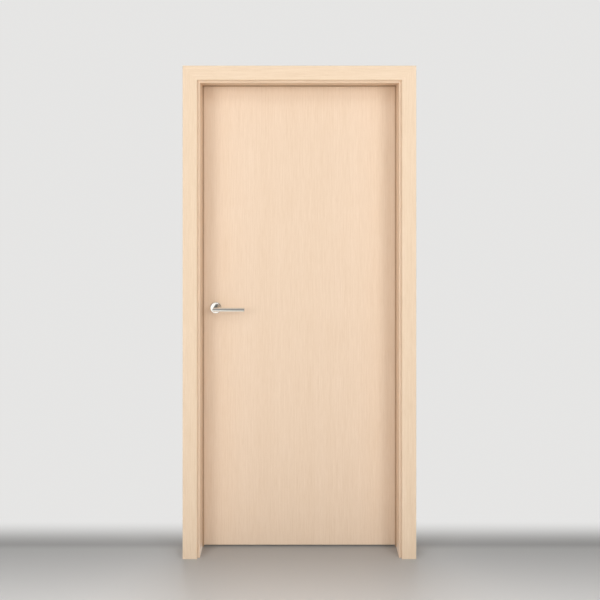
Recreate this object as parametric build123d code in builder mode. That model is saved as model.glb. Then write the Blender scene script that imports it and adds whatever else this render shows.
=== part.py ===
"""Flush interior door set: a flat wood-faced leaf in a wood lining with planted stops, flat casings
on both faces of the wall, three butt hinges and a lever handle on round roses.

Millimetres, +Z up. The viewer of the photograph stands on the -Y side and pushes the leaf away.
The origin lies on the back of the hinge-side lining, at floor level, at mid depth of the wall.
"""

import os
from math import radians, tan

from build123d import *

os.makedirs("parts", exist_ok=True)

# Leaf
leaf_width = 870.0
leaf_height = 2040.0
leaf_thickness = 40.0
floor_gap = 7.0
edge_gap = 5.0
edge_bevel_deg = 2.0
panel_thickness = 3.5
panel_easing = 0.8
stile_width = 45.0
top_rail_height = 45.0
bottom_rail_height = 70.0

# Linings: plain boards as wide as the wall is thick, with stop boards planted on them
wall_thickness = 130.0
board_thickness = 20.0
stop_thickness = 12.0
stop_easing = 0.8
shoulder_chamfer = 2.0

# Casings and the tongues that hold them in the linings
casing_width = 62.5
casing_thickness = 10.0
casing_margin_front = 10.0
casing_margin_back = 7.0
casing_outer_radius = 2.0
casing_inner_radius = 3.0
tongue_width = 5.0
tongue_length = 9.0
tongue_from_back = 7.5
groove_clearance = 0.2
groove_end_room = 1.0

# Seals pressed into the shoulders of the stops
seal_gap = 4.0
seal_to_leaf = 0.3
seal_lip = 5.5
seal_cover = 8.5
seal_end_radius = 1.6
seal_groove_centre = 6.0
seal_groove_width = 3.0
seal_groove_depth = 7.0
seal_stem_clearance = 0.2
seal_foot_gap = 1.0

# Butt hinges
hinge_length = 100.0
hinge_plate_thickness = 3.0
hinge_plate_reach = 38.0
hinge_corner_radius = 8.0
pin_offset = 10.0
pin_diameter = 5.0
pin_fit = 0.05
pin_cap_diameter = 9.0
pin_cap_height = 3.0
knuckle_count = 5
knuckle_gap = 0.4
plate_to_knuckle = 0.8
top_hinge_inset = 230.0
bottom_hinge_inset = 280.0
hinge_screw_radius = 2.4
hinge_screw_head_radius = 4.6
hinge_screw_rows = (-38.0, -13.0, 13.0, 38.0)
hinge_screw_columns = (18.0, 29.0)

# Tubular latch
latch_height = 1050.0
backset = 65.0
latch_case_diameter = 23.0
latch_case_flat = 14.0
latch_case_tail = 17.0
latch_tube_length = 34.0
latch_bore_clearance = 0.5
latch_bolt_width = 12.0
latch_bolt_height = 16.0
latch_bolt_length = 30.0
latch_bolt_proud = 1.5
latch_bolt_bevel = 9.0
latch_bolt_clearance = 0.3
forend_height = 57.0
forend_width = 25.0
forend_thickness = 3.0
forend_corner_radius = 6.0
forend_screw_spacing = 42.0
forend_screw_radius = 2.0
forend_screw_head_radius = 3.6

# Strike plate
strike_height = 64.0
strike_width = 25.0
strike_thickness = 1.5
strike_corner_radius = 4.0
strike_hole_height = 20.0
strike_hole_width = 16.0
strike_mortise_depth = 12.0
strike_lip_height = 32.0
strike_lip_return = 4.0
strike_lip_radius = 2.5
strike_screw_spacing = 48.0
strike_screw_radius = 2.0
strike_screw_head_radius = 3.2

# Roses, levers and spindle
rose_diameter = 50.0
rose_thickness = 8.0
rose_edge_radius = 2.5
rose_ring_diameter = 25.0
rose_ring_height = 1.2
lever_diameter = 18.0
lever_length = 131.0
lever_projection = 50.0
lever_tip_radius = 2.0
lever_clearance = 0.3
lever_seat_gap = 0.5
spindle_size = 8.0
spindle_fit = 0.05
spindle_socket_depth = 26.0
spindle_hole_diameter = 20.0
follower_diameter = 15.6
follower_clearance = 0.06

# Places across the door, from the back of the hinge-side lining
lining_thickness = board_thickness + stop_thickness
hinge_rebate_x = -board_thickness
hinge_clear_x = -lining_thickness
leaf_hinge_x = hinge_rebate_x - edge_gap
leaf_lock_x = leaf_hinge_x - leaf_width
lock_rebate_x = leaf_lock_x - edge_gap
lock_clear_x = lock_rebate_x + stop_thickness
lock_back_x = lock_clear_x - lining_thickness
centre_x = lock_back_x / 2
spindle_x = leaf_lock_x + backset
pin_x = leaf_hinge_x + edge_gap / 2

# Places through the wall, from its middle
wall_front_y = -wall_thickness / 2
wall_back_y = wall_thickness / 2
leaf_back_y = wall_back_y
leaf_front_y = leaf_back_y - leaf_thickness
leaf_middle_y = leaf_back_y - leaf_thickness / 2
shoulder_y = leaf_front_y - seal_gap
pin_y = leaf_back_y + pin_offset

# Heights, from the floor
leaf_bottom_z = floor_gap
leaf_top_z = leaf_bottom_z + leaf_height
head_rebate_z = leaf_top_z + edge_gap
head_clear_z = head_rebate_z - stop_thickness
head_top_z = head_clear_z + lining_thickness
latch_z = leaf_bottom_z + latch_height
top_hinge_z = leaf_top_z - top_hinge_inset
bottom_hinge_z = leaf_bottom_z + bottom_hinge_inset
middle_hinge_z = (top_hinge_z + bottom_hinge_z) / 2
hinge_heights = {"top": top_hinge_z, "middle": middle_hinge_z, "bottom": bottom_hinge_z}

# The sections below are drawn once, as distance outward from the clear opening and depth
# through the wall, and each run of the frame is cut at the two mitre planes.
hinge_section_plane = Plane(origin=(hinge_clear_x, 0, 0), x_dir=(1, 0, 0), z_dir=(0, 0, 1))
lock_section_plane = Plane(origin=(lock_clear_x, 0, 0), x_dir=(-1, 0, 0), z_dir=(0, 0, -1))
head_section_plane = Plane(origin=(centre_x, 0, head_clear_z), x_dir=(0, 0, 1), z_dir=(-1, 0, 0))
hinge_mitre = Plane(origin=(0, 0, head_top_z), z_dir=(1, 0, -1))
lock_mitre = Plane(origin=(lock_back_x, 0, head_top_z), z_dir=(-1, 0, -1))
mitre_reach = 2 * (lining_thickness + casing_width)
upright_run = head_clear_z + mitre_reach
head_half_run = -centre_x + mitre_reach
tongue_centre = lining_thickness - tongue_from_back - tongue_width / 2


def upright(section, section_plane, mitre, foot_z=0.0):
    """One vertical run of a frame section, from foot_z up to its mitre."""
    with BuildPart() as run:
        with BuildSketch(section_plane):
            add(section.sketch)
        extrude(amount=upright_run, dir=(0, 0, 1))
        split(bisect_by=mitre, keep=Keep.TOP)
        if foot_z > 0:
            split(bisect_by=Plane.XY.offset(foot_z), keep=Keep.TOP)
    return run


def head(section):
    """The run of a frame section over the opening, mitred at both ends."""
    with BuildPart() as run:
        with BuildSketch(head_section_plane):
            add(section.sketch)
        extrude(amount=head_half_run, both=True)
        split(bisect_by=hinge_mitre, keep=Keep.BOTTOM)
        split(bisect_by=lock_mitre, keep=Keep.BOTTOM)
    return run


# Lining section: a flat board with a groove in each edge for the casings' tongues
with BuildSketch() as lining_section:
    with Locations((stop_thickness + board_thickness / 2, 0)):
        Rectangle(board_thickness, wall_thickness)
    for edge_y in (wall_front_y, wall_back_y):
        with Locations((tongue_centre, edge_y)):
            Rectangle(
                tongue_width + 2 * groove_clearance,
                2 * (tongue_length + groove_end_room),
                mode=Mode.SUBTRACT,
            )

# Stop section: a thinner board that ends at the leaf, with the seal's groove in that edge
with BuildSketch() as stop_section:
    with Locations((stop_thickness / 2, (wall_front_y + shoulder_y) / 2)):
        Rectangle(stop_thickness, shoulder_y - wall_front_y)
    clear_corners = stop_section.vertices().group_by(Axis.X)[0].sort_by(Axis.Y)
    fillet(clear_corners[0], stop_easing)
    clear_corners = stop_section.vertices().group_by(Axis.X)[0].sort_by(Axis.Y)
    chamfer(clear_corners[-1], shoulder_chamfer)
    with Locations((seal_groove_centre, shoulder_y)):
        Rectangle(seal_groove_width, 2 * seal_groove_depth, mode=Mode.SUBTRACT)


def casing_section(inner, face_y, outward):
    """A flat casing whose back lies on face_y, with a tongue; outward is -1 front and 1 back."""
    with BuildSketch() as section:
        with Locations((inner + casing_width / 2, face_y + outward * casing_thickness / 2)):
            Rectangle(casing_width, casing_thickness)
        proud_corners = section.vertices().sort_by(Axis.Y, reverse=outward > 0)[:2].sort_by(Axis.X)
        fillet(proud_corners[1], casing_outer_radius)
        proud_corners = section.vertices().group_by(Axis.X)[0].sort_by(Axis.Y, reverse=outward > 0)
        fillet(proud_corners[0], casing_inner_radius)
        with Locations((tongue_centre, face_y - outward * tongue_length / 2)):
            Rectangle(tongue_width, tongue_length)
    return section


front_casing_section = casing_section(casing_margin_front, wall_front_y, -1)
back_casing_section = casing_section(stop_thickness + casing_margin_back, wall_back_y, 1)

# Seal section: a flat bulb that stands proud of the clear opening, and a stem in the groove
seal_thickness = seal_gap - seal_to_leaf
with BuildSketch() as seal_section:
    with Locations(((seal_cover - seal_lip) / 2, shoulder_y + seal_thickness / 2)):
        Rectangle(seal_cover + seal_lip, seal_thickness)
    fillet(seal_section.vertices().group_by(Axis.X)[0], seal_end_radius)
    with Locations((seal_groove_centre, shoulder_y - (seal_groove_depth - groove_end_room) / 2)):
        Rectangle(
            seal_groove_width - 2 * seal_stem_clearance,
            seal_groove_depth - groove_end_room,
        )

# Outline of a hinge plate's seat on an edge, in depth and height about the hinge's middle
plate_inner_y = pin_y - hinge_plate_reach
with BuildSketch() as hinge_seat:
    with Locations(((plate_inner_y + leaf_back_y) / 2, 0)):
        Rectangle(leaf_back_y - plate_inner_y, hinge_length)
    fillet(hinge_seat.vertices().group_by(Axis.X)[0], hinge_corner_radius)

# Linings
with BuildPart() as lining_hinge_side:
    add(upright(lining_section, hinge_section_plane, hinge_mitre).part)
    with BuildSketch(Plane.YZ.offset(hinge_rebate_x)):
        with Locations(*[(0, z) for z in hinge_heights.values()]):
            add(hinge_seat.sketch)
    extrude(amount=hinge_plate_thickness, mode=Mode.SUBTRACT)

strike_seat_end_y = wall_back_y
with BuildPart() as lining_lock_side:
    add(upright(lining_section, lock_section_plane, lock_mitre).part)
    with BuildSketch(Plane.YZ.offset(lock_rebate_x)):
        with Locations((leaf_middle_y, latch_z)):
            RectangleRounded(strike_width, strike_height, strike_corner_radius)
        with Locations(((leaf_middle_y + strike_seat_end_y) / 2, latch_z)):
            Rectangle(strike_seat_end_y - leaf_middle_y, strike_lip_height)
    extrude(amount=-strike_thickness, mode=Mode.SUBTRACT)
    with BuildSketch(Plane.YZ.offset(lock_rebate_x - strike_thickness)):
        with Locations((leaf_middle_y, latch_z)):
            Rectangle(strike_hole_width, strike_hole_height)
    extrude(amount=-strike_mortise_depth, mode=Mode.SUBTRACT)

lining_head = head(lining_section)

# Stops
stop_hinge_side = upright(stop_section, hinge_section_plane, hinge_mitre)
stop_lock_side = upright(stop_section, lock_section_plane, lock_mitre)
stop_head = head(stop_section)

# Casings and seals
casing_front_hinge_side = upright(front_casing_section, hinge_section_plane, hinge_mitre)
casing_front_lock_side = upright(front_casing_section, lock_section_plane, lock_mitre)
casing_front_head = head(front_casing_section)
casing_back_hinge_side = upright(back_casing_section, hinge_section_plane, hinge_mitre)
casing_back_lock_side = upright(back_casing_section, lock_section_plane, lock_mitre)
casing_back_head = head(back_casing_section)
seal_hinge_side = upright(seal_section, hinge_section_plane, hinge_mitre, seal_foot_gap)
seal_lock_side = upright(seal_section, lock_section_plane, lock_mitre, seal_foot_gap)
seal_head = head(seal_section)

# Strike plate: a flat plate let into the rebate, with a lip turned over the lining's edge
with BuildPart() as strike_plate:
    with BuildSketch(Plane.YZ.offset(lock_rebate_x)):
        with Locations((leaf_middle_y, latch_z)):
            RectangleRounded(strike_width, strike_height, strike_corner_radius)
    extrude(amount=-strike_thickness)
    with BuildSketch(Plane.XY.offset(latch_z)) as lip_section:
        with BuildLine():
            Polyline(
                (lock_rebate_x, leaf_middle_y),
                (lock_rebate_x, wall_back_y + strike_thickness),
                (lock_rebate_x - strike_thickness - strike_lip_return, wall_back_y + strike_thickness),
                (lock_rebate_x - strike_thickness - strike_lip_return, wall_back_y),
                (lock_rebate_x - strike_thickness, wall_back_y),
                (lock_rebate_x - strike_thickness, leaf_middle_y),
                close=True,
            )
        make_face()
        turned_corner = lip_section.vertices().group_by(Axis.Y)[-1].sort_by(Axis.X)[-1]
        fillet(turned_corner, strike_lip_radius)
    extrude(amount=strike_lip_height / 2, both=True)
    with BuildSketch(Plane.YZ.offset(lock_rebate_x)):
        with Locations((leaf_middle_y, latch_z)):
            Rectangle(strike_hole_width, strike_hole_height)
    extrude(amount=-strike_thickness, mode=Mode.SUBTRACT)
    with Locations(Plane(origin=(lock_rebate_x, leaf_middle_y, latch_z), x_dir=(0, 1, 0), z_dir=(1, 0, 0))):
        with GridLocations(0, strike_screw_spacing, 1, 2):
            CounterSinkHole(strike_screw_radius, strike_screw_head_radius, strike_thickness)

# Leaf: the lock edge is bevelled so that its front corner clears the lining as it swings
bevel_slope = tan(radians(edge_bevel_deg))
edge_bevel = Plane(
    origin=(leaf_lock_x, leaf_back_y, latch_z),
    x_dir=(0, 0, 1),
    z_dir=(-1, -bevel_slope, 0),
)
latch_edge_x = leaf_lock_x + bevel_slope * leaf_thickness / 2
forend_plane = Plane(
    origin=(latch_edge_x, leaf_middle_y, latch_z),
    x_dir=(0, 0, 1),
    z_dir=(-1, -bevel_slope, 0),
)
panel_back_of_front_y = leaf_front_y + panel_thickness
panel_front_of_back_y = leaf_back_y - panel_thickness
frame_depth = panel_front_of_back_y - panel_back_of_front_y
leaf_centre_x = (leaf_lock_x + leaf_hinge_x) / 2
leaf_centre_z = (leaf_bottom_z + leaf_top_z) / 2
core_left_x = leaf_lock_x + stile_width
core_right_x = leaf_hinge_x - stile_width
case_radius = latch_case_diameter / 2
case_end_x = spindle_x + latch_case_tail


def board(low_x, high_x, low_z, high_z, low_y, high_y):
    """A plain board of the leaf between the given faces."""
    with BuildPart() as piece:
        with BuildSketch(Plane.XZ.offset(-low_y)):
            with Locations(((low_x + high_x) / 2, (low_z + high_z) / 2)):
                Rectangle(high_x - low_x, high_z - low_z)
        extrude(amount=-(high_y - low_y))
    return piece


def spindle_hole():
    """Cuts the spindle's hole through the leaf in the part that is being built."""
    with Locations(Plane(origin=(spindle_x, leaf_middle_y, latch_z), z_dir=(0, -1, 0))):
        Cylinder(spindle_hole_diameter / 2, 2 * leaf_thickness, mode=Mode.SUBTRACT)


def latch_bore():
    """Cuts the latch tube's bore, from the lock edge inward, in the part that is being built."""
    bore_length = case_end_x + latch_bore_clearance - leaf_lock_x
    with Locations(Plane(origin=(leaf_lock_x + bore_length / 2, leaf_middle_y, latch_z), z_dir=(1, 0, 0))):
        Cylinder(case_radius + latch_bore_clearance, bore_length, mode=Mode.SUBTRACT)


def hinge_seats():
    """Cuts the three hinge seats into the hinge edge of the part that is being built."""
    with BuildSketch(Plane.YZ.offset(leaf_hinge_x)) as seats:
        with Locations(*[(0, z) for z in hinge_heights.values()]):
            add(hinge_seat.sketch)
    extrude(seats.sketch, amount=-hinge_plate_thickness, mode=Mode.SUBTRACT)


def face_panel(low_y, high_y, face_y):
    """A face panel the size of the leaf, with its long edges eased on the side that shows."""
    with BuildPart() as panel:
        add(board(leaf_lock_x, leaf_hinge_x, leaf_bottom_z, leaf_top_z, low_y, high_y).part)
        split(bisect_by=edge_bevel, keep=Keep.BOTTOM)
        outer_face = panel.faces().filter_by(Axis.Y).sort_by(Axis.Y)[0 if face_y < leaf_middle_y else -1]
        chamfer(outer_face.edges().filter_by(Axis.Z), panel_easing)
        spindle_hole()
    return panel


leaf_panel_front = face_panel(leaf_front_y, panel_back_of_front_y, leaf_front_y)

with BuildPart() as leaf_panel_back:
    add(face_panel(panel_front_of_back_y, leaf_back_y, leaf_back_y).part)
    hinge_seats()

with BuildPart() as leaf_stile_hinge_side:
    add(
        board(
            core_right_x, leaf_hinge_x, leaf_bottom_z, leaf_top_z,
            panel_back_of_front_y, panel_front_of_back_y,
        ).part
    )
    hinge_seats()

with BuildPart() as leaf_stile_lock_side:
    add(
        board(
            leaf_lock_x, core_left_x, leaf_bottom_z, leaf_top_z,
            panel_back_of_front_y, panel_front_of_back_y,
        ).part
    )
    split(bisect_by=edge_bevel, keep=Keep.BOTTOM)
    latch_bore()
    with BuildSketch(forend_plane):
        RectangleRounded(forend_height, forend_width, forend_corner_radius)
    extrude(amount=-forend_thickness, mode=Mode.SUBTRACT)

leaf_rail_top = board(
    core_left_x, core_right_x, leaf_top_z - top_rail_height, leaf_top_z,
    panel_back_of_front_y, panel_front_of_back_y,
)
leaf_rail_bottom = board(
    core_left_x, core_right_x, leaf_bottom_z, leaf_bottom_z + bottom_rail_height,
    panel_back_of_front_y, panel_front_of_back_y,
)

with BuildPart() as leaf_core:
    add(
        board(
            core_left_x, core_right_x,
            leaf_bottom_z + bottom_rail_height, leaf_top_z - top_rail_height,
            panel_back_of_front_y, panel_front_of_back_y,
        ).part
    )
    latch_bore()
    spindle_hole()

# Butt hinges: the sheet of each plate curls round the pin, so the knuckle follows from the gap
knuckle_radius = edge_gap / 2 + hinge_plate_thickness
bore_radius = pin_diameter / 2 + pin_fit
knuckle_pitch = hinge_length / knuckle_count


def hinge_plate(centre_z, side, first_knuckle):
    """One plate of a hinge; side is -1 on the leaf and 1 on the lining."""
    face_x = pin_x + side * edge_gap / 2
    middle_x = face_x + side * hinge_plate_thickness / 2
    foot_z = centre_z - hinge_length / 2
    clear_y = pin_y - knuckle_radius - plate_to_knuckle
    with BuildPart() as plate:
        with BuildSketch(Plane.XY.offset(foot_z)):
            with Locations((middle_x, (plate_inner_y + clear_y) / 2)):
                Rectangle(hinge_plate_thickness, clear_y - plate_inner_y)
        extrude(amount=hinge_length)
        inner_edges = plate.edges().filter_by(Axis.X).group_by(Axis.Y)[0]
        fillet(inner_edges, hinge_corner_radius)
        for index in range(first_knuckle, knuckle_count, 2):
            low_end = knuckle_gap / 2 if index > 0 else 0
            high_end = knuckle_gap / 2 if index < knuckle_count - 1 else 0
            with BuildSketch(Plane.XY.offset(foot_z + index * knuckle_pitch + low_end)):
                with Locations((pin_x, pin_y)):
                    Circle(knuckle_radius)
                with Locations((middle_x, (clear_y + pin_y) / 2)):
                    Rectangle(hinge_plate_thickness, pin_y - clear_y)
            extrude(amount=knuckle_pitch - low_end - high_end)
        with Locations((pin_x, pin_y, centre_z)):
            Cylinder(bore_radius, 2 * hinge_length, mode=Mode.SUBTRACT)
        with Locations(Plane(origin=(face_x, pin_y, centre_z), x_dir=(0, -1, 0), z_dir=(-side, 0, 0))):
            places = [
                (hinge_screw_columns[number % 2], row) for number, row in enumerate(hinge_screw_rows)
            ]
            with Locations(*places):
                CounterSinkHole(hinge_screw_radius, hinge_screw_head_radius, hinge_plate_thickness)
    return plate


def hinge_pin(centre_z):
    """A pin with a domed cap above and below the knuckles."""
    half = hinge_length / 2
    cap_radius = pin_cap_diameter / 2
    edge = pin_cap_height / 3
    with BuildPart() as pin:
        with Locations((pin_x, pin_y, centre_z)):
            Cylinder(pin_diameter / 2, hinge_length)
        for end in (-1, 1):
            seat_z = centre_z + end * half
            with BuildSketch(Plane.XY.offset(seat_z)):
                with Locations((pin_x, pin_y)):
                    Circle(cap_radius)
            extrude(amount=end * pin_cap_height)
            rim = pin.edges().filter_by(GeomType.CIRCLE).sort_by(Axis.Z)[-1 if end > 0 else 0]
            fillet(rim, pin_cap_height - edge)
    return pin


leaf_plates = {place: hinge_plate(z, -1, 1) for place, z in hinge_heights.items()}
frame_plates = {place: hinge_plate(z, 1, 0) for place, z in hinge_heights.items()}
hinge_pins = {place: hinge_pin(z) for place, z in hinge_heights.items()}

# Latch: a forend on the bevelled edge, a tube with a flattened tail, and the bolt drawn back
with BuildPart() as latch_forend:
    with BuildSketch(forend_plane):
        RectangleRounded(forend_height, forend_width, forend_corner_radius)
        Rectangle(
            latch_bolt_height + 2 * latch_bolt_clearance,
            latch_bolt_width + 2 * latch_bolt_clearance,
            mode=Mode.SUBTRACT,
        )
    extrude(amount=-forend_thickness)
    with Locations(forend_plane):
        with GridLocations(forend_screw_spacing, 0, 2, 1):
            CounterSinkHole(forend_screw_radius, forend_screw_head_radius, forend_thickness)

bolt_end_x = latch_edge_x + latch_bolt_length
with BuildPart() as latch_case:
    with BuildSketch(Plane(origin=(leaf_lock_x, leaf_middle_y, latch_z), x_dir=(0, 1, 0), z_dir=(1, 0, 0))):
        Circle(case_radius)
    extrude(amount=case_end_x - leaf_lock_x)
    for side in (-1, 1):
        flat_depth = case_radius - latch_case_flat / 2
        flat_length = case_end_x - leaf_lock_x - latch_tube_length
        middle = (
            leaf_lock_x + latch_tube_length + flat_length / 2,
            leaf_middle_y + side * (latch_case_flat / 2 + flat_depth / 2),
            latch_z,
        )
        with Locations(middle):
            Box(flat_length, flat_depth, latch_case_diameter, mode=Mode.SUBTRACT)
    split(bisect_by=forend_plane.offset(-forend_thickness), keep=Keep.BOTTOM)
    with Locations((latch_edge_x + (latch_bolt_length + latch_bolt_clearance) / 2, leaf_middle_y, latch_z)):
        Box(
            latch_bolt_length + latch_bolt_clearance,
            latch_bolt_width + 2 * latch_bolt_clearance,
            latch_bolt_height + 2 * latch_bolt_clearance,
            mode=Mode.SUBTRACT,
        )
    with Locations(Plane(origin=(spindle_x, leaf_middle_y, latch_z), z_dir=(0, -1, 0))):
        Cylinder(
            follower_diameter / 2 + follower_clearance, 2 * latch_case_diameter, mode=Mode.SUBTRACT
        )

with BuildPart() as latch_bolt:
    with BuildSketch(Plane.XY.offset(latch_z - latch_bolt_height / 2)):
        with BuildLine():
            Polyline(
                (latch_edge_x - latch_bolt_proud, leaf_middle_y + latch_bolt_width / 2),
                (bolt_end_x, leaf_middle_y + latch_bolt_width / 2),
                (bolt_end_x, leaf_middle_y - latch_bolt_width / 2),
                (latch_edge_x - latch_bolt_proud + latch_bolt_bevel, leaf_middle_y - latch_bolt_width / 2),
                (latch_edge_x - latch_bolt_proud, leaf_middle_y + latch_bolt_width / 3),
                close=True,
            )
        make_face()
    extrude(amount=latch_bolt_height)

with BuildPart() as latch_follower:
    with BuildSketch(Plane(origin=(spindle_x, leaf_middle_y, latch_z), z_dir=(0, -1, 0))):
        Circle(follower_diameter / 2)
        Rectangle(spindle_size + 2 * spindle_fit, spindle_size + 2 * spindle_fit, mode=Mode.SUBTRACT)
    extrude(amount=latch_case_flat / 2, both=True)

# Handle set: the back rose and lever mirror the front ones through the middle of the leaf
leaf_mid_plane = Plane.XZ.offset(-leaf_middle_y)
spindle_axis = Axis((spindle_x, leaf_front_y, latch_z), (0, 1, 0))
lever_axis_y = leaf_front_y - lever_projection
lever_radius = lever_diameter / 2

with BuildPart() as rose_front:
    with BuildSketch(Plane(origin=(spindle_x, leaf_front_y, latch_z))) as rose_profile:
        with BuildLine():
            Polyline(
                (lever_radius + lever_clearance, 0),
                (rose_diameter / 2, 0),
                (rose_diameter / 2, -rose_thickness),
                (rose_ring_diameter / 2, -rose_thickness),
                (rose_ring_diameter / 2, -rose_thickness - rose_ring_height),
                (lever_radius + lever_clearance, -rose_thickness - rose_ring_height),
                close=True,
            )
        make_face()
        rim_corner = rose_profile.vertices().group_by(Axis.X)[-1].sort_by(Axis.Y)[0]
        fillet(rim_corner, rose_edge_radius)
    revolve(axis=spindle_axis)

with BuildPart() as rose_back:
    mirror(rose_front.part, about=leaf_mid_plane)

# The lever is one round bar, mitred where it turns from the neck along the door, with a square
# socket in the neck for the spindle
seat_y = leaf_front_y - lever_seat_gap
lever_seat = Plane(origin=(spindle_x, seat_y, latch_z), z_dir=(0, -1, 0))
with BuildPart() as lever_front:
    with BuildLine() as lever_path:
        Polyline(
            (spindle_x, seat_y, latch_z),
            (spindle_x, lever_axis_y, latch_z),
            (spindle_x + lever_length, lever_axis_y, latch_z),
        )
    with BuildSketch(lever_seat):
        Circle(lever_radius)
    sweep(path=lever_path.line, transition=Transition.RIGHT)
    tip_edge = lever_front.edges().filter_by(GeomType.CIRCLE).sort_by(Axis.X)[-1]
    fillet(tip_edge, lever_tip_radius)
    with BuildSketch(lever_seat):
        Rectangle(spindle_size + 2 * spindle_fit, spindle_size + 2 * spindle_fit)
    extrude(amount=spindle_socket_depth, mode=Mode.SUBTRACT)

with BuildPart() as lever_back:
    mirror(lever_front.part, about=leaf_mid_plane)

spindle_half_length = leaf_thickness / 2 + lever_seat_gap + spindle_socket_depth - 2 * spindle_fit
with BuildPart() as spindle:
    with BuildSketch(Plane(origin=(spindle_x, leaf_middle_y, latch_z), z_dir=(0, -1, 0))):
        Rectangle(spindle_size, spindle_size)
    extrude(amount=spindle_half_length, both=True)

pieces = {
    "lining_lock_side": lining_lock_side,
    "lining_hinge_side": lining_hinge_side,
    "lining_head": lining_head,
    "stop_lock_side": stop_lock_side,
    "stop_hinge_side": stop_hinge_side,
    "stop_head": stop_head,
    "seal_lock_side": seal_lock_side,
    "seal_hinge_side": seal_hinge_side,
    "seal_head": seal_head,
    "casing_front_lock_side": casing_front_lock_side,
    "casing_front_hinge_side": casing_front_hinge_side,
    "casing_front_head": casing_front_head,
    "casing_back_lock_side": casing_back_lock_side,
    "casing_back_hinge_side": casing_back_hinge_side,
    "casing_back_head": casing_back_head,
    "strike_plate": strike_plate,
    "leaf_panel_front": leaf_panel_front,
    "leaf_panel_back": leaf_panel_back,
    "leaf_stile_lock_side": leaf_stile_lock_side,
    "leaf_stile_hinge_side": leaf_stile_hinge_side,
    "leaf_rail_top": leaf_rail_top,
    "leaf_rail_bottom": leaf_rail_bottom,
    "leaf_core": leaf_core,
    "latch_case": latch_case,
    "latch_forend": latch_forend,
    "latch_bolt": latch_bolt,
    "latch_follower": latch_follower,
    "rose_front": rose_front,
    "rose_back": rose_back,
    "lever_front": lever_front,
    "lever_back": lever_back,
    "spindle": spindle,
}
for place in hinge_heights:
    pieces[f"hinge_plate_leaf_{place}"] = leaf_plates[place]
    pieces[f"hinge_plate_frame_{place}"] = frame_plates[place]
    pieces[f"hinge_pin_{place}"] = hinge_pins[place]

for name, piece in pieces.items():
    piece.part.label = name
    export_step(piece.part, f"parts/{name}.step")
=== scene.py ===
"""Looks of the flush interior door: pale straight-grained veneer, brown seals, satin metal,
and the small screws. Metres, +Z up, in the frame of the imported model."""

import math

import bmesh
import bpy
from mathutils import Matrix, Vector


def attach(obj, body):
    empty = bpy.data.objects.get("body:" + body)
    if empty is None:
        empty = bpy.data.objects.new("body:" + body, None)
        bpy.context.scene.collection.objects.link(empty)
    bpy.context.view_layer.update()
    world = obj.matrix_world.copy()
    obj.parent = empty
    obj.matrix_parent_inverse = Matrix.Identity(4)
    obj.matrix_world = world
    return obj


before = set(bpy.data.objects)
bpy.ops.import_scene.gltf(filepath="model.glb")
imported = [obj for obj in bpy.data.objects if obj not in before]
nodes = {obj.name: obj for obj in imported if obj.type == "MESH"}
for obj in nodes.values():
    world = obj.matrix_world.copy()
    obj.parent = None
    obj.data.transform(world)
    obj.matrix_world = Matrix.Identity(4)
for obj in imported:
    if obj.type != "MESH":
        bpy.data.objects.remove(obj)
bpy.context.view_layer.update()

# Camera, level, at the height and distance that the lining's perspective gives
image_size = 600
doorway_middle = -0.460
casing_face = -0.075
camera_distance = 2.885
camera_height = 1.644
focal_pixels = 674.0
horizon_row = 175.0
middle_column = 299.45
sensor = 36.0

lens_data = bpy.data.cameras.new("camera")
lens_data.sensor_width = sensor
lens_data.lens = focal_pixels * sensor / image_size
lens_data.shift_y = (horizon_row - image_size / 2) / image_size
lens_data.shift_x = (image_size / 2 - middle_column) / image_size
camera = bpy.data.objects.new("camera", lens_data)
camera.location = (doorway_middle, casing_face - camera_distance, camera_height)
camera.rotation_euler = (math.radians(90), 0, 0)
bpy.context.collection.objects.link(camera)
bpy.context.scene.camera = camera
bpy.context.scene.view_settings.view_transform = "Standard"


class Value:
    """A number that changes over a surface, written as ordinary arithmetic.

    Each sum adds its Math node to the tree that the value came from."""

    def __init__(self, nodes, socket):
        self.nodes = nodes
        self.socket = socket

    def _with(self, operation, first, second):
        return self.nodes.node("ShaderNodeMath", {"operation": operation}, {0: first, 1: second})

    def __add__(self, other):
        return self._with("ADD", self, other)

    def __radd__(self, other):
        return self._with("ADD", other, self)

    def __sub__(self, other):
        return self._with("SUBTRACT", self, other)

    def __rsub__(self, other):
        return self._with("SUBTRACT", other, self)

    def __mul__(self, other):
        return self._with("MULTIPLY", self, other)

    def __rmul__(self, other):
        return self._with("MULTIPLY", other, self)


class Nodes:
    """A node tree and the one way its nodes are made."""

    def __init__(self, tree):
        self.tree = tree

    def node(self, kind, settings=None, inputs=None, output=0):
        """A node of one kind: its settings first, then the values or links of its sockets."""
        made = self.tree.nodes.new(kind)
        for setting, value in (settings or {}).items():
            if setting == "stops":
                ramp = made.color_ramp
                while len(ramp.elements) < len(value):
                    ramp.elements.new(0.5)
                for element, (position, level) in zip(ramp.elements, value):
                    element.position = position
                    element.color = (level, level, level, 1)
            else:
                setattr(made, setting, value)
        for socket, value in (inputs or {}).items():
            if isinstance(value, Value):
                self.tree.links.new(value.socket, made.inputs[socket])
            else:
                made.inputs[socket].default_value = value
        return Value(self, made.outputs[output])

    def ray(self, kind):
        """1 for the rays of one kind, and 0 for the others."""
        return self.node("ShaderNodeLightPath", output=kind)

    def smooth(self, value, low, high, first=0.0, last=1.0):
        """Goes softly from the first number to the last while the value goes from low to high."""
        inputs = {0: value, 1: low, 2: high, 3: first, 4: last}
        return self.node("ShaderNodeMapRange", {"interpolation_type": "SMOOTHSTEP"}, inputs)


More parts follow.
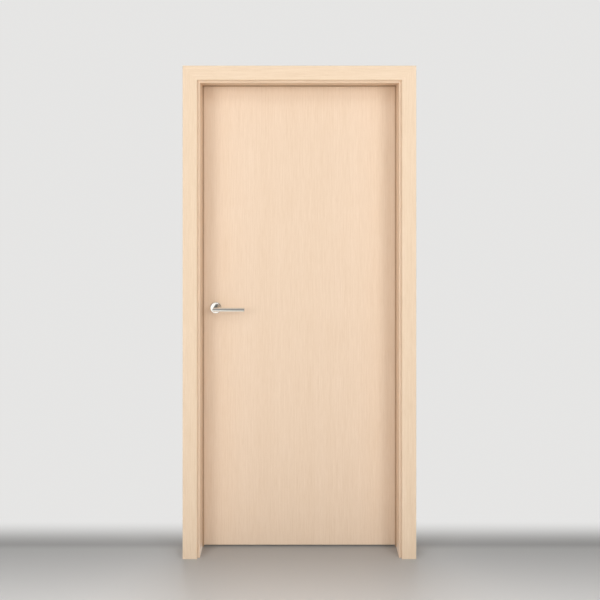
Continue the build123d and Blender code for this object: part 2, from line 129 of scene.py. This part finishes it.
class Finish(Nodes):
    """A material, its shader and the patterns that feed it."""

    def __init__(self, name, **fixed):
        self.material = bpy.data.materials.new(name)
        self.material.use_nodes = True
        super().__init__(self.material.node_tree)
        self.shader = next(n for n in self.tree.nodes if n.type == "BSDF_PRINCIPLED")
        for socket, value in fixed.items():
            self.shader.inputs[socket.replace("_", " ")].default_value = value

    def place(self):
        """Object coordinates as three values, in metres."""
        coordinates = self.node("ShaderNodeTexCoord", output="Object")
        split = {0: coordinates}
        return [self.node("ShaderNodeSeparateXYZ", inputs=split, output=axis) for axis in range(3)]

    def noise(self, x, y, z, detail=2.0, roughness=0.5):
        """Noise whose scale is set by the numbers that the three places are multiplied by."""
        vector = self.node("ShaderNodeCombineXYZ", inputs={0: x, 1: y, 2: z})
        inputs = {"Vector": vector, "Scale": 1.0, "Detail": detail, "Roughness": roughness}
        return self.node("ShaderNodeTexNoise", inputs=inputs)

    def ramp(self, value, *stops):
        """Levels of grey at places between 0 and 1, each stop a place and a level."""
        return self.node("ShaderNodeValToRGB", {"stops": stops}, {0: value})

    def mix(self, factor, first, second):
        """Between two colours, which are three numbers or a link."""
        colours = [c if isinstance(c, Value) else (*c, 1) for c in (first, second)]
        inputs = {0: factor, 6: colours[0], 7: colours[1]}
        return self.node("ShaderNodeMix", {"data_type": "RGBA"}, inputs, output=2)

    def use(self, **links):
        """Feeds values to the shader, by the names of its sockets."""
        for socket, value in links.items():
            self.tree.links.new(value.socket, self.shader.inputs[socket.replace("_", " ")])

    def bump(self, height, strength, distance):
        """Fine relief, with the full distance in metres where the height is 1."""
        inputs = {"Strength": strength, "Distance": distance, "Height": height}
        self.use(Normal=self.node("ShaderNodeBump", inputs=inputs))


def linear(red, green, blue):
    """A colour given as it looks on a screen, 0 to 255."""
    levels = [c / 255 for c in (red, green, blue)]
    return tuple(c / 12.92 if c <= 0.04045 else ((c + 0.055) / 1.055) ** 2.4 for c in levels)


def veneer(name, tone, grain_axis, seed, contrast=1.0, roughness=0.42):
    """Pale, straight-grained veneer under a satin lacquer; the grain runs along X, Y or Z."""
    finish = Finish(name, Coat_Weight=0.12, Coat_Roughness=0.25, IOR=1.46)
    place = finish.place()
    along = place.pop("XYZ".index(grain_axis))
    across, depth = place
    drift = finish.noise(across * 5, depth * 5 + seed, along * 0.9, detail=1.0)
    line = across + depth * 0.8 + drift * 0.012
    band = finish.noise(line * 14, seed, along * 0.3, detail=2.0)
    streak = finish.noise(line * 170, seed + 3, along * 5, detail=3.0, roughness=0.6)
    dash = finish.noise(line * 330, seed + 5, along * 16, detail=2.0, roughness=0.55)
    fibre = finish.noise(line * 1100, seed + 7, along * 40, detail=2.0, roughness=0.6)
    pores = finish.noise(line * 1500, seed + 11, along * 90, detail=1.0)
    pores = finish.ramp(pores, (0.62, 0.0), (0.74, 1.0))
    figure = band * 0.15 + streak * 0.36 + dash * 0.30 + fibre * 0.19
    figure = finish.ramp(figure, (0.38, 0.0), (0.62, 1.0))
    dark = tuple(c * (1 - k * contrast) for c, k in zip(tone, (0.075, 0.105, 0.15)))
    light = tuple(min(c * (1 + k * contrast), 1.0) for c, k in zip(tone, (0.025, 0.035, 0.045)))
    fleck = tuple(c * (1 - k * contrast) for c, k in zip(tone, (0.16, 0.22, 0.30)))
    colour = finish.mix(figure, dark, light)
    colour = finish.mix(pores * 0.45, colour, fleck)
    finish.use(Base_Color=colour, Roughness=roughness + (1 - figure) * 0.07)
    finish.bump(dash * 0.5 + fibre * 0.4 - pores * 0.5, 0.10, 0.0004)
    return finish.material


def particle_board(name, tone):
    """The leaf's core, seen only where the latch and the spindle pass through it."""
    finish = Finish(name, Roughness=0.85)
    x, y, z = finish.place()
    chip = finish.noise(x * 380, y * 380, z * 240, detail=2.0)
    grit = finish.noise(x * 1500, y * 1500, z * 1500, detail=2.0)
    figure = finish.ramp(chip * 0.7 + grit * 0.3, (0.38, 0.0), (0.62, 1.0))
    dark = tuple(c * 0.62 for c in tone)
    finish.use(Base_Color=finish.mix(figure, dark, tone))
    finish.bump(figure, 0.4, 0.0006)
    return finish.material


def elastomer(name, tone):
    """The seals' matt brown, with a faint sheen and a little dust in the grain."""
    finish = Finish(name, IOR=1.45)
    x, y, z = finish.place()
    mottle = finish.noise(x * 60, y * 60, z * 60, detail=3.0)
    grain = finish.noise(x * 2200, y * 2200, z * 2200, detail=1.0)
    light = tuple(c * 1.18 for c in tone)
    finish.use(Base_Color=finish.mix(mottle, tone, light), Roughness=0.5 + mottle * 0.15)
    finish.bump(grain, 0.15, 0.0001)
    return finish.material


def brushed(name, tone, axis, roughness=0.3, scratch=0.06):
    """Satin metal whose fine lines run along X, Y or Z."""
    finish = Finish(name, Metallic=1.0)
    place = finish.place()
    along = place.pop("XYZ".index(axis))
    first, second = place
    line = finish.noise(first * 2600, second * 2600, along * 45, detail=2.0)
    cloud = finish.noise(first * 30, second * 30, along * 30, detail=2.0)
    dull = tuple(c * 0.93 for c in tone)
    finish.use(
        Base_Color=finish.mix(cloud * 0.6 + line * 0.4, dull, tone),
        Roughness=roughness + (line - 0.5) * scratch * 2 + (cloud - 0.5) * 0.06,
    )
    finish.bump(line, 0.08, 0.00005)
    return finish.material


leaf_tone = linear(239, 214, 189)
casing_tone = linear(240, 216, 189)
lining_tone = linear(235, 209, 183)
inner_tone = linear(226, 200, 164)

veneers = {
    "leaf": veneer("leaf_veneer_upright", leaf_tone, "Z", 0.0),
    "casing_upright": veneer("casing_veneer_upright", casing_tone, "Z", 20.0, 1.15),
    "casing_level": veneer("casing_veneer_level", casing_tone, "X", 30.0, 1.15),
    "lining_upright": veneer("lining_veneer_upright", lining_tone, "Z", 40.0),
    "lining_level": veneer("lining_veneer_level", lining_tone, "X", 50.0),
    "solid_upright": veneer("stile_wood", inner_tone, "Z", 60.0, 1.8, 0.62),
    "solid_level": veneer("rail_wood", inner_tone, "X", 70.0, 1.8, 0.62),
}
core_finish = particle_board("core_board", linear(196, 164, 122))
seal_finish = elastomer("seal_brown", linear(178, 148, 120))
hinge_finish = brushed("hinge_satin_steel", linear(198, 198, 196), "Z", 0.30)
latch_finish = brushed("latch_satin_steel", linear(192, 192, 190), "Z", 0.34)
lever_finish = brushed("lever_satin_metal", linear(237, 233, 225), "X", 0.12, 0.02)
rose_finish = brushed("rose_satin_metal", linear(243, 240, 235), "X", 0.12, 0.02)
screw_finish = brushed("screw_steel", linear(186, 186, 184), "Y", 0.28)


def finish_of(name):
    """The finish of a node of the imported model, by its name."""
    level = name.endswith("head") or "rail" in name
    run = "level" if level else "upright"
    if name.startswith("casing"):
        return veneers["casing_" + run]
    if name.startswith(("lining", "stop")):
        return veneers["lining_" + run]
    if name.startswith("leaf_panel"):
        return veneers["leaf"]
    if name == "leaf_core":
        return core_finish
    if name.startswith("leaf"):
        return veneers["solid_" + run]
    if name.startswith("seal"):
        return seal_finish
    if name.startswith("hinge"):
        return hinge_finish
    if name.startswith("lever"):
        return lever_finish
    if name.startswith("rose"):
        return rose_finish
    return latch_finish


for name, node in nodes.items():
    node.data.materials.clear()
    node.data.materials.append(finish_of(name))


def start():
    """Nothing selected, in object mode, before a new piece."""
    if bpy.context.object and bpy.context.object.mode != "OBJECT":
        bpy.ops.object.mode_set(mode="OBJECT")
    bpy.ops.object.select_all(action="DESELECT")


def settle(piece):
    """Puts the piece's place in its mesh, with faces outward and smooth where the angle is small."""
    start()
    piece.select_set(True)
    bpy.context.view_layer.objects.active = piece
    bpy.ops.object.transform_apply(location=True, rotation=True, scale=True)
    bpy.ops.object.mode_set(mode="EDIT")
    bpy.ops.mesh.select_all(action="SELECT")
    bpy.ops.mesh.remove_doubles(threshold=0.000001)
    bpy.ops.mesh.normals_make_consistent(inside=False)
    bpy.ops.object.mode_set(mode="OBJECT")
    bpy.ops.object.shade_smooth_by_angle(angle=math.radians(30))


def screw(name, head_radius, depth):
    """A countersunk screw with a cross recess, its head at the origin and its shank down -Z."""
    start()
    bpy.ops.mesh.primitive_circle_add(vertices=32, radius=head_radius, fill_type="NGON")
    piece = bpy.context.object
    piece.name = name
    bpy.ops.object.mode_set(mode="EDIT")
    bpy.ops.mesh.select_all(action="SELECT")
    rim = 0.08 * head_radius
    cone = 0.48 * head_radius
    shank = depth - rim - cone
    bpy.ops.mesh.extrude_region_move(TRANSFORM_OT_translate={"value": (0, 0, -rim)})
    bpy.ops.mesh.extrude_region_move(TRANSFORM_OT_translate={"value": (0, 0, -cone)})
    bpy.ops.transform.resize(value=(0.52, 0.52, 1))
    bpy.ops.mesh.extrude_region_move(TRANSFORM_OT_translate={"value": (0, 0, -shank)})
    bpy.ops.object.mode_set(mode="OBJECT")

    # The cross that the recess is cut with: a small block with an arm drawn out on each side
    start()
    arm = 0.5 * head_radius
    half_width = 0.13 * head_radius
    recess_height = 0.9 * head_radius
    bpy.ops.mesh.primitive_cube_add(size=1)
    cutter = bpy.context.object
    bpy.ops.object.mode_set(mode="EDIT")
    bpy.ops.mesh.select_all(action="SELECT")
    bpy.ops.transform.resize(value=(2 * half_width, 2 * half_width, recess_height))
    bpy.ops.mesh.select_all(action="DESELECT")
    for direction in (Vector((1, 0, 0)), Vector((0, 1, 0)), Vector((-1, 0, 0)), Vector((0, -1, 0))):
        shape = bmesh.from_edit_mesh(cutter.data)
        for face in shape.faces:
            facing = face.normal.dot(direction) > 0.99
            face.select_set(facing and face.calc_center_median().length < 1.2 * half_width)
        bmesh.update_edit_mesh(cutter.data)
        bpy.ops.mesh.extrude_region_move(TRANSFORM_OT_translate={"value": direction * (arm - half_width)})
        bpy.ops.mesh.select_all(action="DESELECT")
    bpy.ops.mesh.select_all(action="SELECT")
    bpy.ops.mesh.normals_make_consistent(inside=False)
    bpy.ops.object.mode_set(mode="OBJECT")

    # The recess is cut and the arrises eased
    start()
    piece.select_set(True)
    bpy.context.view_layer.objects.active = piece
    cut = piece.modifiers.new("recess", "BOOLEAN")
    cut.operation = "DIFFERENCE"
    cut.object = cutter
    bpy.ops.object.modifier_apply(modifier=cut.name)
    edge = piece.modifiers.new("edge", "BEVEL")
    edge.width = 0.03 * head_radius
    edge.segments = 2
    edge.limit_method = "ANGLE"
    edge.angle_limit = math.radians(50)
    bpy.ops.object.modifier_apply(modifier=edge.name)
    bpy.data.objects.remove(cutter)
    piece.data.materials.append(screw_finish)
    return piece


def set_screw(pattern, name, body, where, normal, turn):
    """A copy of the screw with its head at a place, facing along a normal."""
    piece = pattern.copy()
    piece.data = pattern.data.copy()
    piece.name = name
    bpy.context.collection.objects.link(piece)
    facing = Vector(normal).to_track_quat("Z", "Y").to_matrix().to_4x4()
    piece.matrix_world = Matrix.Translation(where) @ facing @ Matrix.Rotation(turn, 4, "Z")
    settle(piece)
    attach(piece, body)


# Screws of the hinges, the forend and the strike plate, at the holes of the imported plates
leaf_middle = 0.045
latch_height = 1.057
pin_across = -0.0225
pin_depth = 0.075
plate_face = 0.0025
hinge_heights = {"top": 1.817, "middle": 1.052, "bottom": 0.287}
hinge_rows = (-0.038, -0.013, 0.013, 0.038)
hinge_columns = (0.018, 0.029)
hinge_screw = screw("hinge_screw", 0.0043, 0.0029)
plate_screw = screw("plate_screw", 0.0031, 0.0024)
strike_screw = screw("strike_screw_pattern", 0.0029, 0.0029)

for place, height in hinge_heights.items():
    for body, side in (("leaf", -1), ("frame", 1)):
        for number, row in enumerate(hinge_rows):
            across = pin_across + side * plate_face
            where = Vector((across, pin_depth - hinge_columns[number % 2], height + side * row))
            name = f"hinge_screw_{body}_{place}_{number + 1}"
            turn = 0.7 * number + 1.9 * side + height
            set_screw(hinge_screw, name, body, where, (-side, 0, 0), turn)

edge_slope = math.tan(math.radians(2))
forend_across = -0.895 + edge_slope * 0.020
forend_rows = (-0.021, 0.021)
forend_normal = (-1, -edge_slope, 0)
for number, row in enumerate(forend_rows):
    where = Vector((forend_across, leaf_middle, latch_height + row))
    name = f"forend_screw_{number + 1}"
    set_screw(plate_screw, name, "leaf", where, forend_normal, number)

strike_across = -0.900
strike_rows = (-0.024, 0.024)
for number, row in enumerate(strike_rows):
    where = Vector((strike_across, leaf_middle, latch_height + row))
    name = f"strike_screw_{number + 1}"
    set_screw(strike_screw, name, "frame", where, (1, 0, 0), 0.5 + number)

for pattern in (hinge_screw, plate_screw, strike_screw):
    bpy.data.objects.remove(pattern)


# Studio: a pale floor that curves up into a backdrop, and soft lamps at a plain level
pale_level = 0.79


def sweep_backdrop():
    """One sheet: the floor, a wide curve behind the door, and the backdrop."""
    front = -9.0
    bend_start = 2.2
    bend_radius = 1.6
    bend_steps = 24
    width = 24.0
    height = 9.0
    start()
    bpy.ops.mesh.primitive_plane_add(size=1)
    sheet = bpy.context.object
    sheet.name = "backdrop"
    bpy.ops.object.mode_set(mode="EDIT")
    bpy.ops.mesh.select_all(action="SELECT")
    bpy.ops.transform.resize(value=(width, bend_start - front, 1))
    bpy.ops.transform.translate(value=(doorway_middle, (bend_start + front) / 2, 0))
    bpy.ops.mesh.select_all(action="DESELECT")
    shape = bmesh.from_edit_mesh(sheet.data)
    shape.select_mode = {"EDGE"}
    for edge in shape.edges:
        edge.select_set(all(v.co.y > bend_start - 0.001 for v in edge.verts))
    bmesh.update_edit_mesh(sheet.data)
    length = 2 * bend_radius * math.sin(math.pi / 4 / bend_steps)
    for step in range(bend_steps):
        turn = math.pi / 2 * (step + 0.5) / bend_steps
        move = (0, length * math.cos(turn), length * math.sin(turn))
        bpy.ops.mesh.extrude_region_move(TRANSFORM_OT_translate={"value": move})
    bpy.ops.mesh.extrude_region_move(TRANSFORM_OT_translate={"value": (0, 0, height)})
    bpy.ops.object.mode_set(mode="OBJECT")
    settle(sheet)
    sheet.data.materials.append(pale_sheet())


def pale_sheet():
    """Pale, with painted shade that darkens the floor towards the door. Behind the door it shows
    as an even pale grey. Polished pieces see a painted reflection: for glossy rays alone the sheet glows,
    brightest to one side and fading far off."""
    finish = Finish("backdrop_pale", Roughness=0.45, Specular_IOR_Level=0.35)
    x, y, z = finish.place()
    # Painted shade: the floor's colour darkens from 0.70 m in front of the door to the door's foot
    dark_end = 0.05
    pale_end = -0.70
    away = finish.node("ShaderNodeMapRange", inputs={0: y, 1: dark_end, 2: pale_end})
    stops = (0.02, 0.0), (0.067, 0.15), (0.173, 0.25), (0.293, 0.38), (0.52, 0.64), (1.0, 1.0)
    painted_shade_fade = finish.ramp(away, *stops)
    finish.use(Base_Color=finish.mix(painted_shade_fade, (0.300, 0.296, 0.290), (0.850, 0.840, 0.825)))

    behind = finish.smooth(y + z, 0.03, 0.25)
    # Painted reflection: for glossy rays alone the sheet glows, brighter to one side and dimmer far off, so
    # polished pieces show a bright floor that no lamp lights
    painted_reflection_side = finish.smooth(y * 0.123 - x, 0.60, 0.84, 0.62, 1.0)
    painted_reflection_distance = finish.smooth(y, -6.8, -5.9, 0.3, 1.0)
    seen = finish.ray("Is Camera Ray")
    mirrored = finish.ray("Is Glossy Ray")
    strength = seen * pale_level + mirrored * (painted_reflection_side * painted_reflection_distance)
    glow = finish.node("ShaderNodeEmission", inputs={"Color": (1.0, 0.995, 0.985, 1), "Strength": strength})
    lit = Value(finish, finish.shader.outputs[0])
    shown = finish.node("ShaderNodeMixShader", inputs={0: seen * behind + mirrored, 1: lit, 2: glow})
    surface = next(n for n in finish.tree.nodes if n.type == "OUTPUT_MATERIAL").inputs["Surface"]
    finish.tree.links.new(shown.socket, surface)
    return finish.material


sweep_backdrop()

# Soft light from all round; polished surfaces alone see a painted reflection of it, darker near the horizon
# than overhead
world = bpy.data.worlds.new("studio")
world.use_nodes = True
bpy.context.scene.world = world
background = world.node_tree.nodes["Background"]
background.inputs["Color"].default_value = (1.0, 1.0, 1.0, 1)
sky = Nodes(world.node_tree)
direction = sky.node("ShaderNodeTexCoord", output="Generated")
upward = sky.node("ShaderNodeSeparateXYZ", inputs={0: direction}, output=2)
glint = sky.smooth(upward, 0.47, 0.75, 0.20, 0.68)
seen = sky.ray("Is Camera Ray")
mirrored = sky.ray("Is Glossy Ray")
ambient = 0.46
strength = ambient + seen * (pale_level - ambient) + mirrored * (glint - ambient)
world.node_tree.links.new(strength.socket, background.inputs["Strength"])


def lamp(name, where, target, width, height, power, shows=False):
    """A soft rectangular lamp that the camera never sees, and polished pieces only if it shows."""
    data = bpy.data.lights.new(name, "AREA")
    data.shape = "RECTANGLE"
    data.size = width
    data.size_y = height
    data.energy = power
    made = bpy.data.objects.new(name, data)
    made.location = where
    made.rotation_euler = (Vector(target) - Vector(where)).to_track_quat("-Z", "Y").to_euler()
    made.visible_camera = False
    made.visible_glossy = shows
    bpy.context.collection.objects.link(made)


lamp("left", (-3.06, -3.2, 2.2), (-0.46, 0, 1.4), 1.5, 1.9, 51)
lamp("right", (2.14, -3.2, 2.2), (-0.46, 0, 1.4), 1.5, 1.9, 52)
lamp("top", (-0.46, -3.6, 4.8), (-0.46, 0, 1.2), 3.2, 1.6, 43)
lamp("rear", (-0.46, 3.0, 1.35), (-0.46, 0, 1.1), 3.0, 1.6, 80)
lamp("low", (-1.95, -3.6, 0.32), (-1.95, 0, 0.32), 1.5, 0.5, 1.25, shows=True)
